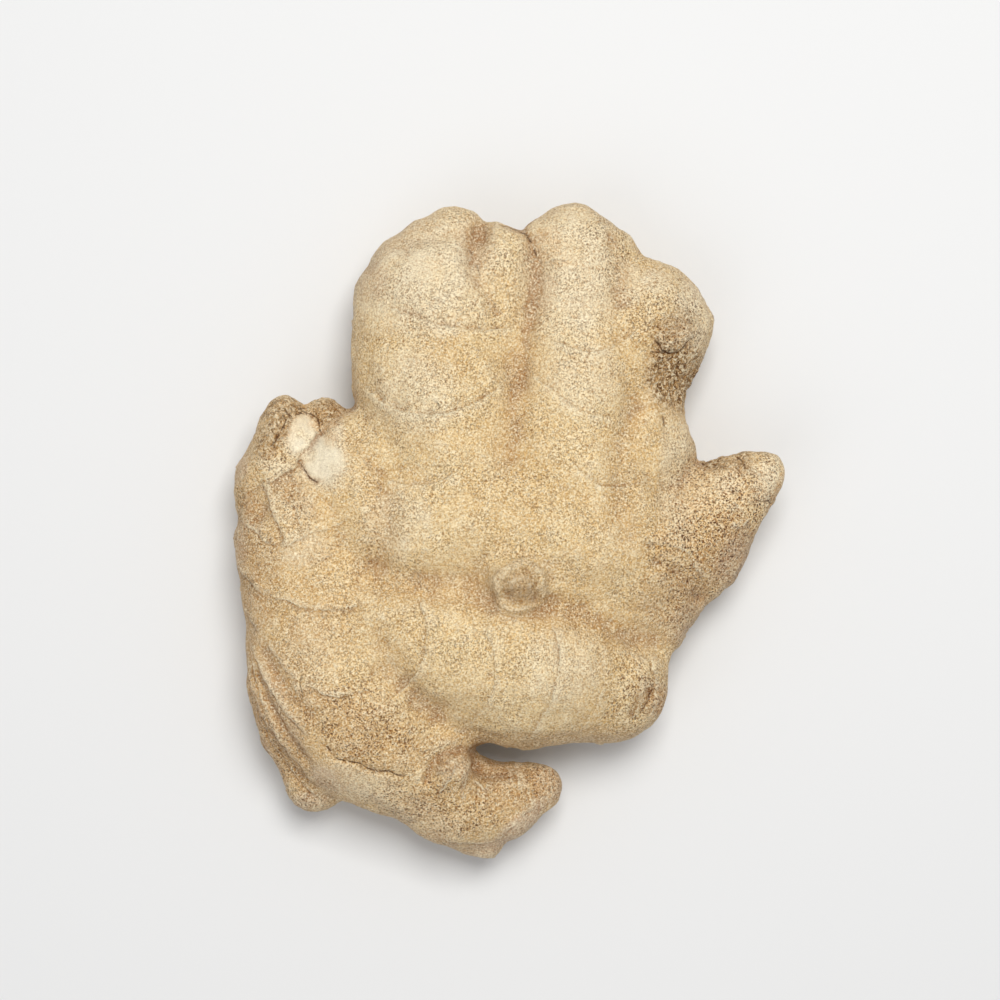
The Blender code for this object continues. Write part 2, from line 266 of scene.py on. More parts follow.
# Corky scars of the upper side: (x, y, half width, half height, turn in degrees, roughness).
CORKY_SCARS = [
    (36.6, 34.2, 6.2, 7.8, -15, 0.75), (36.6, 44.8, 5.4, 4.2, 15, 0.3), (-49.6, 26.4, 4.4, 3, 10, 0.45),
    (-40.2, 26.2, 3.4, 3.4, 0, 0.45), (-51.6, 20.6, 3, 6, -35, 0.4), (46.4, 14.4, 3.4, 1.6, 0, 0.5),
    (51.6, 15, 2, 2.4, 0, 0.4), (-58.6, 6, 1.6, 4.6, 0, 0.35), (-56.4, -11.4, 2.8, 1.8, -35, 0.3),
    (39, -18.6, 3.2, 2.2, 30, 0.25), (-13.6, -51, 2.6, 2, 40, 0.3),
]

# Painted patches of the upper side: kind and (x, y, half width, half height, turn, strength).
PATCHES = {
    # Pale smooth faces, and painted highlight brightening the knobs' domes.
    "pale_and_highlight": [
        (-45.1, 20.9, 3.6, 5.2, -20, 1), (-40.6, 15.6, 5.4, 6.4, 20, 1), (-18, 56, 16, 13, 20, 0.45),
        (14, 56, 11, 16, 0, 0.45), (37, 3, 4, 7, 10, 0.35), (56.6, 10.5, 3.4, 5.6, -10, 0.45),
        (-20, 61, 7, 5, 30, 0.3), (36.5, 20, 3.2, 6, 0, 0.25), (40, 44, 4, 9, -10, 0.4),
        (47, 10, 8, 8, 0, 0.2), (9.6, 61.6, 4.4, 4.4, 0, 0.4), (-51, 14, 3, 2, 0, 0.3),
        (32.4, 54.4, 4, 3, 0, 0.4), (-47, 8, 5, 8, 20, 0.25), (-44, -4, 6, 4, 0, 0.3),
        (-20, 30, 9, 10, 0, 0.3), (16, 34, 8, 9, 0, 0.3), (12, -30, 9, 8, 0, 0.25),
        (-24, 2, 8, 7, 0, 0.25), (-33, -55, 11, 4, -15, 0.35), (-42, -26, 6, 9, 0, 0.15),
        (-18, 47, 12, 6, 0, 0.3), (40, 50, 4, 5, 0, 0.4), (37, 15, 4, 8, 0, 0.35),
        (43, 6.4, 4, 4, 0, 0.25), (-39, 20, 3.4, 6, 0, 0.6), (-20, -62, 10, 4, -25, 0.3),
        (6, 57, 4, 7, 0, 0.35), (26, 54, 4, 6, 0, 0.35), (48, 11, 5, 4, 20, 0.4),
    ],
    # Brown stains, and painted shadow in a strip along the lower middle, over the lower finger and
    # round the knuckle.
    "stain_and_shade": [
        (-48, 8.6, 4.2, 3, -25, 0.35), (-48.2, 10.3, 2.4, 1.4, 12, 0.5), (-51, 9.4, 1.2, 1.4, 20, 0.4),
        (-45.4, 7, 2.2, 6, 40, 0.4), (-6.6, 62.6, 3.8, 6, 20, 0.5), (-29.6, 54.5, 4, 4.8, -25, 0.5),
        (7, 64.2, 2, 1.8, 0, 0.7), (22.6, 63.4, 1, 2, 20, 0.8), (38.2, -18.8, 3, 2.4, 30, 0.8),
        (36, -17, 9, 8, 20, 0.5), (46, -5, 5, 9, -30, 0.6), (-12.4, -50.2, 5, 2.6, 12, 1),
        (-3, -53, 8, 2.2, -6, 1), (-50, -50, 5, 12, 30, 0.45), (-55.6, 4.4, 3, 5, 20, 0.8),
        (43.6, 14.2, 2.4, 1.4, 0, 0.9), (36.6, 34, 6, 7.6, -15, 0.8), (31.6, -37, 4, 5, 40, 0.6),
        (-54, -17, 4, 6, -20, 0.6), (8.4, 52, 2.6, 5, 0, 0.25), (36, 43.4, 4.4, 3.6, 15, 0.6),
        (-38.4, 26, 2.4, 3.4, 0, 0.5), (-31, -43, 15, 9, -30, 0.3), (4, 63, 1.4, 3, -10, 0.3),
        (-50, 26, 4, 3, 0, 0.35), (9.4, -55.4, 5, 6, 0, 1), (4, -60, 8, 5, 35, 0.4),
        (-51.4, 20.4, 2.8, 5.8, -35, 0.5), (-15, -60, 6, 5, 0, 0.3), (51.5, 14.4, 2, 3, 0, 0.5),
        (-25, -48, 12, 4, -10, 0.45), (-52, -40, 3, 8, 30, 0.6), (38, 8, 2, 4, 0, 0.3),
        (-53, -3, 3, 4, 10, 0.5), (2, 66.4, 3.4, 1.4, -20, 0.6), (-46, -19, 9, 15, 0, 0.22),
        (1, -57, 12, 6, 0, 0.55), (-55, -2, 5, 12, 0, 0.35), (-50, -32, 5, 12, 24, 0.4),
        (-22, 64.6, 8, 2, 22, 0.35), (20, -46, 12, 3, 0, 0.4), (-56, -28, 2.4, 8, 15, 0.5),
        (-57, -10, 3, 16, 4, 0.6), (-53, -30, 4, 12, 20, 0.5), (2, -53.6, 9, 2.4, -4, 0.9),
        (-11.4, -50.6, 2.6, 1.8, 0, 1), (-10, -61, 12, 8, 0, 0.25), (-53, -7, 5, 6, 0, 0.5),
        (-44, -38, 5, 6, 20, 0.5), (6, -53.8, 7, 2.6, 0, 0.6), (51.4, -6, 4, 6, -20, 0.5),
        (0, -46, 30, 2, 0, 0.5),
    ],
    "orange": [
        (8.8, -57, 3.6, 5, 0, 1), (59.6, 8.4, 1.4, 5.6, -15, 0.9), (42.6, 4, 5, 13, 0, 0.4),
        (11.4, 58.1, 2.6, 0.9, 5, 0.6), (46.5, 15.6, 6, 2, 0, 0.8), (-40.2, 25, 3.6, 4, 0, 1),
        (-48, 27.4, 4, 2.4, 0, 0.8), (33, -37.5, 2.6, 4.4, 30, 0.7), (-34, -43, 13, 9, -30, 0.5),
        (9, 62, 3, 4, 0, 0.4), (-45.6, 8.6, 4, 2.5, 20, 0.5), (-56.6, -40, 2.4, 12, 14, 0.6),
        (34, -1.2, 4, 1.6, -10, 0.6), (36, 38, 5, 3, 0, 0.5), (36, -3, 5, 5, -10, 0.35),
        (-38.6, 20.6, 1.8, 3, 0, 0.6), (-8, 64, 3, 3, 0, 0.4), (-54, 0, 3, 5, 10, 0.3),
        (-57, 0, 4, 18, 4, 0.4), (-55.4, -42, 4, 14, 18, 0.9), (-46, -46, 11, 16, 25, 0.5),
        (-44, -8, 16, 30, 0, 0.2), (-12, -59, 18, 9, 0, 0.3), (45, -3, 14, 18, -15, 0.3),
        (-51, 23, 6, 8, -20, 0.4), (50, 11, 8, 6, 20, 0.3), (-52.6, -44, 3, 14, 28, 0.5),
    ],
    "grey": [
        (2.4, -65.6, 9.5, 2.4, 44, 1), (-5.4, -71, 5, 2.2, 10, 1), (-58.8, 13.6, 1.8, 3.6, -20, 0.7),
        (-59, -2, 1.8, 7, 5, 0.4), (-43, -60, 5, 2.2, 10, 0.6), (-14, -69, 5, 1.8, -30, 0.5),
        (50, -6, 4, 7, -20, 0.6), (-51, -33, 2, 8, 24, 0.4), (-48, -42, 2, 8, 32, 0.4),
        (40, -20, 6, 4, 40, 0.5), (-40, -54.6, 4, 3, -40, 0.5),
    ],
    "dotted": [
        (46, -2, 15, 22, -20, 1), (36, 44, 8, 12, 20, 0.8), (-14, -60, 14, 9, 0, 0.8),
        (-52, -48, 8, 18, 30, 0.6), (30, -36, 8, 8, 0, 0.7), (0, 60, 6, 9, 0, 0.4),
        (-52, 4, 8, 8, 0, 0.35), (22, 63, 6, 8, 0, 0.4), (-31, -43, 17, 10, -30, 0.5),
        (5, -57, 7, 6, 0, 0.6), (-52, 20, 6, 8, 0, 0.5), (50, 12, 9, 6, 0, 0.8),
        (-40, 26, 4, 4, 0, 0.8),
    ],
}

# Spots: how many, least and greatest rise of the normal (-1 to 1), least height above the
# floor, and how high the middle stands.
ROOT_SCARS = (26, -1.0, -0.35, 3.0, -0.4)
SIDE_EYES = (9, -0.3, 0.25, 4.0, 0.45)
SPOT_SEED = 41
SPOT_RADII = (0.9, 1.7)
SPOT_SPACING = 9  # least gap between two spots
SPOT_RIM = 0.28  # height of the rim round a spot
STEM_SCAR = (2.6, -12.2, 5.2)  # x, y and radius of the scar where a leaf stem stood
UPPER_RISE = (-0.2, 0.15)  # rise of the normal where the upper side begins, and where it is full
LINE_RISE = (-0.2, 0.1)  # the same, for a line
# The flanks' colour is painted shade, full on the steepest flanks.
FLANK_SHADE_RISE = (0.25, 0.8)  # rise of the normal where the flanks' colour is full, and where it ends
END_FADE = 0.14  # share of a line's length over which it fades at either end
EDGE_WIDTH = 0.4  # half the width over which an edge of skin steps down
MARK_REACH = (1.0, 1.8)  # gaps at which a mark begins to fade, and ends
PATCH_EDGE = (0.55, 1.35)  # where a patch begins to fade, and ends, for a size of 1
RING_REACH = 5  # gap beyond which a growth ring has no effect
FAINT = 0.02  # strength below which a mark is left out
# Painted shading from the skin's own relief: darker in hollows, lighter on bumps.
RELIEF_SHADING = {"hollow_shade_and_bump_highlight": (10, 0.35), "wide_hollow_shade": (55, 1.6)}  # softening rounds and full depth


def smooth_line(points):
    """The points joined by a smooth curve, as the rows of an array."""
    rows = np.array([points[0], *points, points[-1]], dtype=float)
    shares = np.arange(STEPS)[:, None] / STEPS
    pieces = []
    for before, start, end, after in zip(rows, rows[1:], rows[2:], rows[3:]):
        slope = end - before
        bend = 2 * before - 5 * start + 4 * end - after
        twist = 3 * start - before - 3 * end + after
        pieces.append(start + 0.5 * (slope * shares + bend * shares**2 + twist * shares**3))
    return np.vstack([*pieces, rows[-1:]])


def added(name, data):
    """A new object with the data, in the scene."""
    thing = bpy.data.objects.new(name, data)
    bpy.context.scene.collection.objects.link(thing)
    return thing


def applied(thing):
    """The object's mesh with its modifiers applied. The object itself goes."""
    graph = bpy.context.evaluated_depsgraph_get()
    mesh = bpy.data.meshes.new_from_object(thing.evaluated_get(graph))
    bpy.data.objects.remove(thing)
    return mesh


def add_lobe(skin, flatness, stations):
    """Adds a sphere drawn out along the lobe's axis, with a round end at each end."""
    axis = smooth_line(stations)
    runs = np.diff(axis[:, :3], axis=0)
    steps = np.linalg.norm(runs, axis=1)
    lengths = np.concatenate([[0], np.cumsum(steps)])
    first_radius, last_radius = axis[0, 3], axis[-1, 3]
    first_cap, last_cap = math.pi / 2 * first_radius, math.pi / 2 * last_radius
    profile = first_cap + lengths[-1] + last_cap
    sphere = bmesh.ops.create_uvsphere(skin, u_segments=SIDES, v_segments=ROWS, radius=1)
    ball = np.array([vert.co for vert in sphere["verts"]])
    travel = np.arccos(np.clip(ball[:, 2], -1, 1)) / math.pi * profile
    caps = [travel < first_cap, travel > first_cap + lengths[-1]]
    turns = [travel / first_radius, (profile - travel) / last_radius]
    ends = [-first_radius * np.cos(turns[0]), lengths[-1] + last_radius * np.cos(turns[1])]
    along = np.select(caps, ends, travel - first_cap)
    index = np.clip(np.searchsorted(lengths, along) - 1, 0, len(steps) - 1)
    share = (along - lengths[index]) / steps[index]
    place = axis[index] + (axis[index + 1] - axis[index]) * share[:, None]
    rims = [first_radius * np.sin(turns[0]), last_radius * np.sin(turns[1])]
    reach = np.select(caps, rims, place[:, 3])
    forward = runs[index] / steps[index, None]
    side = np.cross(forward, (0, 0, 1))
    side /= np.linalg.norm(side, axis=1)[:, None]
    up = np.cross(side, forward)
    angle = np.arctan2(ball[:, 1], ball[:, 0])
    sideways, upwards = reach * np.cos(angle), reach * flatness * np.sin(angle)
    across = side * sideways[:, None] + up * upwards[:, None]
    for vert, spot in zip(sphere["verts"], (place[:, :3] + across) * MM):
        vert.co = spot


def grown_mesh():
    """All the lobes grown together into one closed, fine skin."""
    skin = bmesh.new()
    for flatness, stations in LOBES.values():
        add_lobe(skin, flatness, stations)
    bmesh.ops.recalc_face_normals(skin, faces=skin.faces)
    mesh = bpy.data.meshes.new("lobes")
    skin.to_mesh(mesh)
    skin.free()
    lobes = added("lobes", mesh)
    remesh = lobes.modifiers.new("grow_together", "REMESH")
    remesh.mode = "VOXEL"
    remesh.voxel_size = SKIN_GRID
    fillet = lobes.modifiers.new("fill_clefts", "SMOOTH")
    fillet.factor = FILLET_FACTOR
    fillet.iterations = FILLET_ROUNDS
    finer = lobes.modifiers.new("finer", "SUBSURF")
    finer.levels = 1
    finer.render_levels = 1
    return applied(lobes)


def smoothstep(values, low, high):
    share = np.clip((values - low) / (high - low), 0, 1)
    return share * share * (3 - 2 * share)


def hump(gap, width, middle=0):
    """1 at the middle, fading out softly over the width on both sides."""
    return np.exp(-(((gap - middle) / width) ** 2))


def nearest_on(line, places):
    """Signed gap from each place to the line, and the share of the line's length there."""
    runs = np.diff(line, axis=0)
    lengths = np.linalg.norm(runs, axis=1)
    passed = np.concatenate([[0], np.cumsum(lengths)])
    best = np.full(len(places), np.inf)
    along = np.zeros(len(places))
    side = np.ones(len(places))
    for start, run, length, before in zip(line, runs, lengths, passed):
        offset = places - start
        share = np.clip(offset @ run / length**2, 0, 1)
        gap = np.linalg.norm(offset - share[:, None] * run, axis=1)
        closer = gap < best
        best = np.where(closer, gap, best)
        along = np.where(closer, before + share * length, along)
        turn = run[0] * offset[:, 1] - run[1] * offset[:, 0]
        side = np.where(closer, np.where(turn < 0, -1, 1), side)
    return best * side, along / passed[-1]


class Skin:
    """The root's surface while it is being carved: places and normals of its points, in mm."""

    MARKS = ("edge", "crack")
    PAINTS = ("pale_and_highlight", "stain_and_shade", "orange", "grey", "dotted", "corky", "scar", "valley_shade", "flank_shade")
    GAP_LIMIT = 9.0  # a mark's gap where no mark is near

    def __init__(self, mesh):
        self.mesh = mesh
        count = len(mesh.vertices)
        places = np.empty(count * 3, np.float32)
        mesh.vertices.foreach_get("co", places)
        self.places = places.reshape(-1, 3).astype(float) / MM
        edges = np.empty(len(mesh.edges) * 2, np.int32)
        mesh.edges.foreach_get("vertices", edges)
        self.edges = edges.reshape(-1, 2)
        self.links = np.bincount(self.edges.ravel(), minlength=count)
        self.height = np.zeros(count)
        self.gap = {kind: np.full(count, self.GAP_LIMIT) for kind in self.MARKS}
        self.mark = {kind: np.zeros(count) for kind in self.MARKS}
        self.paint = {kind: np.zeros(count) for kind in self.PAINTS}
        self.read_normals()

    def write_places(self):
        self.mesh.vertices.foreach_set("co", (self.places * MM).astype(np.float32).ravel())
        self.mesh.update()

    def read_normals(self):
        normals = np.empty(len(self.places) * 3, np.float32)
        self.mesh.vertex_normals.foreach_get("vector", normals)
        self.normals = normals.reshape(-1, 3).astype(float)

    def carve(self):
        """Moves the points along their normals by the heights gathered so far."""
        self.places += self.normals * self.height[:, None]
        self.height[:] = 0
        self.write_places()
        self.read_normals()

    def softened(self, values, rounds):
        """The values, each one replaced by the mean of its neighbours, some times over."""
        first, second = self.edges.T
        count = len(values)
        for _ in range(rounds):
            total = np.bincount(first, weights=values[second], minlength=count)
            total += np.bincount(second, weights=values[first], minlength=count)
            values = total / self.links
        return values

    def hollowness(self, rounds):
        """How far each point lies below its softened surroundings, in mm."""
        soft = np.stack([self.softened(self.places[:, axis], rounds) for axis in range(3)], axis=1)
        return np.einsum("ij,ij->i", soft - self.places, self.normals)

    def waves(self, size, seed, octaves=2, stretch=(1, 1, 1)):
        """Soft noise of about -1 to 1 over the skin, with waves of the given size."""
        shift = Vector((seed * 7.31, seed * 3.17, seed * 5.53))
        scaled = self.places / (size * np.array(stretch))
        return np.array([noise.fractal(Vector(p) + shift, 1.0, 2.0, octaves) for p in scaled])

    def upper(self):
        """1 on the upper side and its flanks, 0 below."""
        return smoothstep(self.normals[:, 2], *UPPER_RISE)

    def lay(self, kind, share, near=slice(None)):
        """Lays paint of a kind on the points near, unless they hold more of it already."""
        self.paint[kind][near] = np.maximum(self.paint[kind][near], share)

    def line_field(self, points, reach):
        """The points near a line drawn on the upper side, their gaps, and an end fade."""
        line = smooth_line(points)
        flat = self.places[:, :2]
        inside = ((flat > line.min(0) - reach) & (flat < line.max(0) + reach)).all(1)
        near = np.flatnonzero(inside & (self.normals[:, 2] > LINE_RISE[0]))
        gap, share = nearest_on(line, flat[near])
        fade = smoothstep(share, 0, END_FADE) * smoothstep(1 - share, 0, END_FADE)
        return near, gap, fade * smoothstep(self.normals[near, 2], *LINE_RISE)

    def set_mark(self, kind, near, gap, strength):
        """Keeps the gap of the nearest mark, so that the colours can draw a thin line there."""
        strength = strength * (1 - smoothstep(np.abs(gap), *MARK_REACH))
        closer = (strength > FAINT) & (np.abs(gap) < np.abs(self.gap[kind][near]))
        chosen = near[closer]
        self.gap[kind][chosen] = gap[closer]
        self.mark[kind][chosen] = strength[closer]

    def ellipse(self, x, y, half_width, half_height, turn):
        """1 in the middle of an ellipse on the upper side, fading out across its rim."""
        angle = math.radians(turn)
        across = self.places[:, 0] - x
        up = self.places[:, 1] - y
        along_width = (across * math.cos(angle) + up * math.sin(angle)) / half_width
        along_height = (up * math.cos(angle) - across * math.sin(angle)) / half_height
        size = np.hypot(along_width, along_height)
        return (1 - smoothstep(size, *PATCH_EDGE)) * self.upper()


def settle(skin):
    """Puts the skin where the solid is: centred over its box, its lowest lobes in the floor."""
    low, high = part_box("ginger_root")
    middle = (Vector(low) + Vector(high)) / (2 * MM)
    lowest, highest = skin.places.min(0), skin.places.max(0)
    shift = np.array(middle) - (lowest + highest) / 2
    shift[2] = low[2] / MM - lowest[2] - SETTLE
    skin.places += shift
    skin.write_places()
    skin.read_normals()


def pull_sideways(skin):
    """Draws small parts of the skin sideways, as a thumb would in clay."""
    for x, y, z, reach, pull_x, pull_y in PULLS:
        offset = (skin.places - (x, y, z)) / (reach, reach, 3 * reach)
        share = np.exp(-(offset**2).sum(1))
        skin.places[:, :2] += share[:, None] * (pull_x, pull_y)
    skin.write_places()
    skin.read_normals()


def carve_forms(skin):
    """Swells, hollows and valleys, and the slow unevenness of anything that grew."""
    for x, y, z, reach, height in SWELLS:
        gaps = np.linalg.norm(skin.places - (x, y, z), axis=1)
        skin.height += height * hump(gaps, reach)
    skin.height += 0.55 * skin.waves(12, 1) + 0.2 * skin.waves(5.5, 2)
    upper = skin.upper()
    for height, width, points in VALLEYS:
        near, gap, fade = skin.line_field(points, 3 * width)
        shape = fade * upper[near] * hump(gap, width)
        skin.height[near] += height * shape
        if height < 0:
            # Painted shade along each valley.
            skin.lay("valley_shade", shape * min(1, -height), near)
    skin.carve()


def lobe_places(skin):
    """For each lobe with rings: how near its axis, how far along and how far across a point is."""
    found = {}
    for name in GROWTH_RINGS:
        line = smooth_line(LOBES[name][1])
        runs = np.diff(line[:, :3], axis=0)
        lengths = np.linalg.norm(runs, axis=1)
        passed = np.concatenate([[0], np.cumsum(lengths)])
        best = np.full(len(skin.places), np.inf)
        along = np.zeros(len(skin.places))
        across = np.zeros(len(skin.places))
        last = len(runs) - 1
        for index, (start, run, length) in enumerate(zip(line, runs, lengths)):
            offset = skin.places - start[:3]
            low = -np.inf if index == 0 else 0
            high = np.inf if index == last else 1
            raw = offset @ run / length**2
            held = np.clip(raw, 0, 1)
            gap = np.linalg.norm(offset - held[:, None] * run, axis=1) / start[3]
            closer = gap < best
            best = np.where(closer, gap, best)
            along = np.where(closer, passed[index] + np.clip(raw, low, high) * length, along)
            side = (offset[:, 0] * run[1] - offset[:, 1] * run[0]) / length
            across = np.where(closer, side, across)
        found[name] = (best, along, across)
    return found


def carve_rings(skin):
    """Growth rings round each lobe, on the lower flanks and underside, with painted shade in their
    grooves.
    """
    lobes = lobe_places(skin)
    nearest, second = np.sort([nearness for nearness, _, _ in lobes.values()], axis=0)[:2]
    wobble = skin.waves(9, 5) * 1.6
    patchy = 0.85 + 0.3 * skin.waves(9, 6)
    shown = 1 - skin.upper()
    for name, rings in GROWTH_RINGS.items():
        nearness, along, across = lobes[name]
        lead = np.where(nearness == nearest, second - nearest, 0)
        strength = smoothstep(lead, 0, 0.06) * shown * patchy
        for place, tilt, height in rings:
            gap = along - place + tilt * across + wobble
            near = np.flatnonzero((np.abs(gap) < RING_REACH) & (strength > FAINT))
            gap, share = gap[near], strength[near]
            groove = hump(gap, 1, 1.4)
            shape = hump(gap, 0.75) - 0.75 * groove + 0.35 * hump(gap, 2.2, -1.8)
            skin.height[near] += 1.5 * height * share * shape
            skin.set_mark("edge", near, gap, share * 0.3)
            # Painted shade in the ring's groove.
            skin.lay("valley_shade", share * groove, near)


def carve_lines(skin):
    """The edges, ridges and cracks of the upper side."""
    wobble = skin.waves(2.6, 8) * 0.45
    patchy = 0.8 + 0.35 * skin.waves(4, 9)
    for height, reach, points in EDGES:
        near, gap, fade = skin.line_field(points, 2.5 * reach)
        gap = gap + wobble[near]
        strength = np.clip(fade * patchy[near], 0, 1)
        step = smoothstep(gap, -EDGE_WIDTH, EDGE_WIDTH)
        skin.height[near] += height * strength * (1.6 * step - 0.6) * hump(gap, reach)
        skin.set_mark("edge", near, gap, strength * min(1, 0.3 + 1.7 * height))
    for height, width, points in RIDGES:
        near, gap, fade = skin.line_field(points, 4 * width)
        gap = gap + wobble[near] * 0.6
        strength = np.clip(fade * patchy[near], 0, 1)
        skin.height[near] += height * strength * hump(gap, width)
        skin.set_mark("edge", near, gap, strength)
    for depth, width, points in CRACKS:
        near, gap, fade = skin.line_field(points, 6 * width)
        gap = gap + wobble[near] * 0.6
        skin.height[near] -= depth * fade * hump(gap, 1.6 * width)
        skin.set_mark("crack", near, gap, fade * min(1, 0.1 + 2.4 * depth))


def paint_patches(skin):
    """Stains and smoother faces, and the corky scars, each with a ragged edge."""
    ragged = 1 + 0.45 * skin.waves(3.2, 11)
    for kind, patches in PATCHES.items():
        for x, y, half_width, half_height, turn, strength in patches:
            patch = skin.ellipse(x, y, half_width, half_height, turn) * ragged
            skin.lay(kind, np.clip(patch * strength, 0, 1))
    crust = 1 - 2 * np.abs(skin.waves(1.8, 12, stretch=(0.8, 1.6, 1)))
    grit = skin.waves(1.3, 13)
    for x, y, half_width, half_height, turn, roughness in CORKY_SCARS:
        patch = np.clip(skin.ellipse(x, y, half_width, half_height, turn) * ragged, 0, 1)
        skin.height += roughness * patch * (0.6 * crust + 0.5 * grit - 0.15)
        skin.lay("corky", patch * min(1, roughness * 1.5))


def carve_spot(skin, place, radius, middle):
    """A small round scar or eye: a raised rim round a pit or a pimple, with its own paint."""
    gaps = np.linalg.norm(skin.places - place, axis=1) / radius
    near = np.flatnonzero(gaps < 3)
    gaps = gaps[near]
    skin.height[near] += SPOT_RIM * hump(gaps, 0.42, 1) + middle * hump(gaps, 0.6)
    skin.lay("scar", 1 - smoothstep(gaps, 0.6, 1.3), near)


def scatter_spots(skin):
    """Root scars on the underside and dormant eyes on the flanks, well apart from each other."""
    draw = random.Random(SPOT_SEED)
    rise = skin.normals[:, 2]
    taken = []
    for count, low, high, least, middle in (ROOT_SCARS, SIDE_EYES):
        fitting = np.flatnonzero((rise > low) & (rise < high) & (skin.places[:, 2] > least))
        made = 0
        while made < count:
            place = skin.places[draw.choice(fitting)].copy()
            radius = draw.uniform(*SPOT_RADII)
            if any(np.linalg.norm(place - other) < SPOT_SPACING for other in taken):
                continue
            taken.append(place)
            made += 1
            carve_spot(skin, place, radius, middle)


def carve_stem_scar(skin):
    """The round scar on top of the middle, where a leaf stem was broken off."""
    x, y, radius = STEM_SCAR
    gaps = np.hypot(skin.places[:, 0] - x, skin.places[:, 1] - y) / radius
    gaps += 0.15 * skin.waves(5, 31)
    near = np.flatnonzero((gaps < 2) & (skin.normals[:, 2] > 0))
    gaps = gaps[near]
    rings = np.cos(gaps * math.pi * 5) * (1 - smoothstep(gaps, 0.7, 0.95))
    floor = 1 - smoothstep(gaps, 0.72, 0.98)
    rim = hump(gaps, 0.12, 1.03)
    skin.height[near] += 0.35 * rim - 0.7 * floor + 0.12 * rings
    skin.lay("scar", 0.5 * floor, near)
    skin.lay("corky", 0.4 * floor + 0.4 * rim, near)


def carve_grain(skin):
    """The fine unevenness of the dry skin, and shallow wrinkles, deeper on the underside."""
    skin.height += 0.09 * skin.waves(1.7, 21, 3) + 0.11 * skin.waves(2.6, 22, 2, (0.6, 1.8, 1))
    skin.height += 0.12 * skin.waves(3.4, 23, 2, (2.0, 0.7, 1))
    skin.height += 0.3 * skin.waves(5, 24, 2, (1.7, 0.8, 1)) * (1 - skin.upper())


def rest_on_floor(skin):
    """Presses what would be below the floor flat against it."""
    skin.places[:, 2] = np.maximum(skin.places[:, 2], 0)
    skin.write_places()
    skin.read_normals()


def keep_attributes(skin):
    """Stores the marks and paints on the mesh, for its material, among them the painted shade of the
    flanks and the painted shading of the hollows.
    """
    # Painted shade on the steep flanks, stronger the steeper they are.
    skin.paint["flank_shade"] = 1 - smoothstep(skin.normals[:, 2], *FLANK_SHADE_RISE)
    values = dict(skin.paint)
    for name, (rounds, depth) in RELIEF_SHADING.items():
        values[name] = np.clip(skin.hollowness(rounds) / depth, -1, 1)
    for kind in skin.MARKS:
        values[kind + "_gap"] = skin.gap[kind]
        values[kind + "_mark"] = skin.mark[kind]
    for name, numbers in values.items():
        layer = skin.mesh.attributes.new(name, "FLOAT", "POINT")
        layer.data.foreach_set("value", numbers.astype(np.float32))


def thinned_out(mesh):
    """The mesh with fewer triangles where it is flat, and all its detail where it is not."""
    fine = added("fine", mesh)
    thin_out = fine.modifiers.new("thin_out", "DECIMATE")
    thin_out.ratio = MOST_TRIANGLES / (2 * len(mesh.polygons))
    return applied(fine)


def make_root():
    mesh = grown_mesh()
    skin = Skin(mesh)
    settle(skin)
    pull_sideways(skin)
    carve_forms(skin)
    carve_rings(skin)
    carve_lines(skin)
    carve_stem_scar(skin)
    skin.carve()
    paint_patches(skin)
    scatter_spots(skin)
    carve_grain(skin)
    skin.carve()
    rest_on_floor(skin)
    keep_attributes(skin)
    mesh = thinned_out(mesh)
    mesh.name = "ginger_hand"
    mesh.shade_smooth()
    mesh.materials.clear()
    return added("ginger_hand", mesh)


# ---------------- the skin's material


def colour(red, green, blue):
    """A screen colour of 0 to 255 as the linear colour that a shader takes."""
    linear = []
    for part in (red, green, blue):
        share = part / 255
        linear.append(share / 12.92 if share <= 0.04045 else ((share + 0.055) / 1.055) ** 2.4)
    return (*linear, 1.0)


class Wire:
    """One output of a node. Python's operators on it add Math nodes."""

    def __init__(self, finish, socket):
        self.finish = finish
        self.socket = socket

    def math(self, operation, first, second):
        return self.finish.node("Math", {"operation": operation}, {0: first, 1: second})

    def __add__(self, other):
        return self.math("ADD", self, other)

    def __sub__(self, other):
        return self.math("SUBTRACT", self, other)

    def __mul__(self, other):
        return self.math("MULTIPLY", self, other)

    def __truediv__(self, other):
        return self.math("DIVIDE", self, other)

    def __rsub__(self, other):
        return self.math("SUBTRACT", other, self)

    def __abs__(self):
        return self.math("ABSOLUTE", self, 0)

    __radd__ = __add__
    __rmul__ = __mul__


class Finish:
    """A material, with one method that adds any node to it."""

    def __init__(self, name):
        self.material = bpy.data.materials.new(name)
        self.material.use_nodes = True
        self.tree = self.material.node_tree
        self.shader = self.tree.nodes["Principled BSDF"]

    def plug(self, socket, value):
        if isinstance(value, Wire):
            self.tree.links.new(value.socket, socket)
        else:
            socket.default_value = value

    def node(self, kind, settings, inputs, output=0):
        """Adds a node, sets it up, fills its sockets with values or wires, and gives an output."""
        node = self.tree.nodes.new("ShaderNode" + kind)
        for name, value in settings.items():
            setattr(node, name, value)
        for key, value in inputs.items():
            self.plug(node.inputs[key], value)
        return Wire(self, node.outputs[output])

    def attributes(self, *names):
        return [self.node("Attribute", {"attribute_name": name}, {}, "Fac") for name in names]

    def fade(self, value, low, high):
        """0 below low, 1 above high, with a soft step between them."""
        limits = {"Value": value, "From Min": low, "From Max": high}
        return self.node("MapRange", {"interpolation_type": "SMOOTHSTEP"}, limits)

    def noise(self, place, scale, detail=2.0, roughness=0.5, distortion=0.0):
        settings = {"Vector": place, "Scale": scale, "Detail": detail}
        settings |= {"Roughness": roughness, "Distortion": distortion}
        return self.node("TexNoise", {}, settings)

    def blend(self, share, under, over):
        """The colour under, covered by the colour over as far as share says."""
        return self.node("Mix", {"data_type": "RGBA"}, {0: share, 6: under, 7: over}, 2)

    def coats(self, base, *layers):
        """The base colour covered by the layers in turn, each one a share and a colour."""
        for share, over in layers:
            base = self.blend(share, base, over)
        return base


